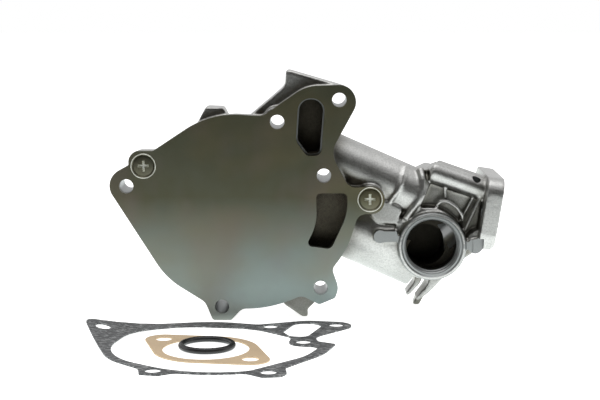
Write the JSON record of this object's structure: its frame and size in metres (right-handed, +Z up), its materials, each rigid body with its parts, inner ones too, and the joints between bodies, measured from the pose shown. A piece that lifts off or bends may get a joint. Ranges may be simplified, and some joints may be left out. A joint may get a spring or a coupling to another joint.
{
  "type": "automotive water pump",
  "caption": "Engine water pump: cast aluminium body with hose arm, steel back plate, impeller, shaft bearing, mechanical seal and pulley hub, with its loose seals.",
  "frame": {"origin": "where the shaft's axis meets the back plate's outer face", "axes": "+X along the hose arm, +Y along the shaft from the plate to the pulley hub, +Z up"},
  "size_m": [0.2431, 0.2482, 0.1485],
  "materials": {
    "cast_aluminium": "as cast and shot blasted, machined at the faces",
    "zinc_steel": "sheet steel, zinc plated and olive passivated, faint colour play",
    "zinc_screw": "zinc plated, olive passivated",
    "ground_steel": "ground",
    "stud_steel": "bright zinc",
    "hub_steel": "machined, lightly oiled",
    "cast_iron": "as cast",
    "rubber": "satin black",
    "fibre": "graphite fibre sheet with pale flecks",
    "card": "tan oiled card",
    "brass": "pressed sheet",
    "carbon": "moulded and lapped",
    "ceramic": "lapped"
  },
  "bodies": {
    "housing": {"pump_body": "cast_aluminium", "back_plate": "zinc_steel", "plate_gasket": "card", "plate_screw_left": "zinc_screw", "plate_screw_right": "zinc_screw", "bearing_outer_race": "ground_steel", "bearing_seal_inner": "rubber", "bearing_seal_outer": "rubber", "seal_cup": "brass", "seal_spring": "ground_steel", "seal_bellows": "rubber", "carbon_face": "carbon"},
    "rotor": {"pump_shaft": "ground_steel", "impeller": "cast_iron", "hub_flange": "hub_steel", "hub_stud_1": "stud_steel", "hub_stud_2": "stud_steel", "hub_stud_3": "stud_steel", "hub_stud_4": "stud_steel", "slinger": "rubber", "ceramic_seat": "ceramic", "seat_boot": "rubber"},
    "ball_train": {"bearing_ball_1_1": "ground_steel", "bearing_ball_1_2": "ground_steel", "bearing_ball_1_3": "ground_steel", "bearing_ball_1_4": "ground_steel", "bearing_ball_1_5": "ground_steel", "bearing_ball_1_6": "ground_steel", "bearing_ball_1_7": "ground_steel", "bearing_ball_2_1": "ground_steel", "bearing_ball_2_2": "ground_steel", "bearing_ball_2_3": "ground_steel", "bearing_ball_2_4": "ground_steel", "bearing_ball_2_5": "ground_steel", "bearing_ball_2_6": "ground_steel", "bearing_ball_2_7": "ground_steel", "bearing_cage_1": "brass", "bearing_cage_2": "brass"},
    "fibre_gasket": {"mounting_gasket": "fibre"},
    "card_gasket": {"outlet_gasket": "card"},
    "rubber_ring": {"o_ring": "rubber"}
  },
  "joints": [
    {"name": "shaft_spin", "type": "hinge", "parent": "housing", "child": "rotor", "pos_m": [0, 0, 0], "axis": [0, 1, 0], "continuous": true},
    {"name": "ball_orbit", "type": "hinge", "parent": "housing", "child": "ball_train", "pos_m": [0, 0, 0], "axis": [0, 1, 0], "continuous": true},
    {"name": "fibre_gasket_lift", "type": "slide", "parent": "housing", "child": "fibre_gasket", "axis": [0, 0, 1], "range_m": [0, 0.03]},
    {"name": "card_gasket_lift", "type": "slide", "parent": "housing", "child": "card_gasket", "axis": [0, 0, 1], "range_m": [0, 0.03]},
    {"name": "rubber_ring_lift", "type": "slide", "parent": "housing", "child": "rubber_ring", "axis": [0, 0, 1], "range_m": [0, 0.03]}
  ],
  "couplings": [
    {"joint": "ball_orbit", "follows": "shaft_spin", "ratio": 0.348}
  ]
}
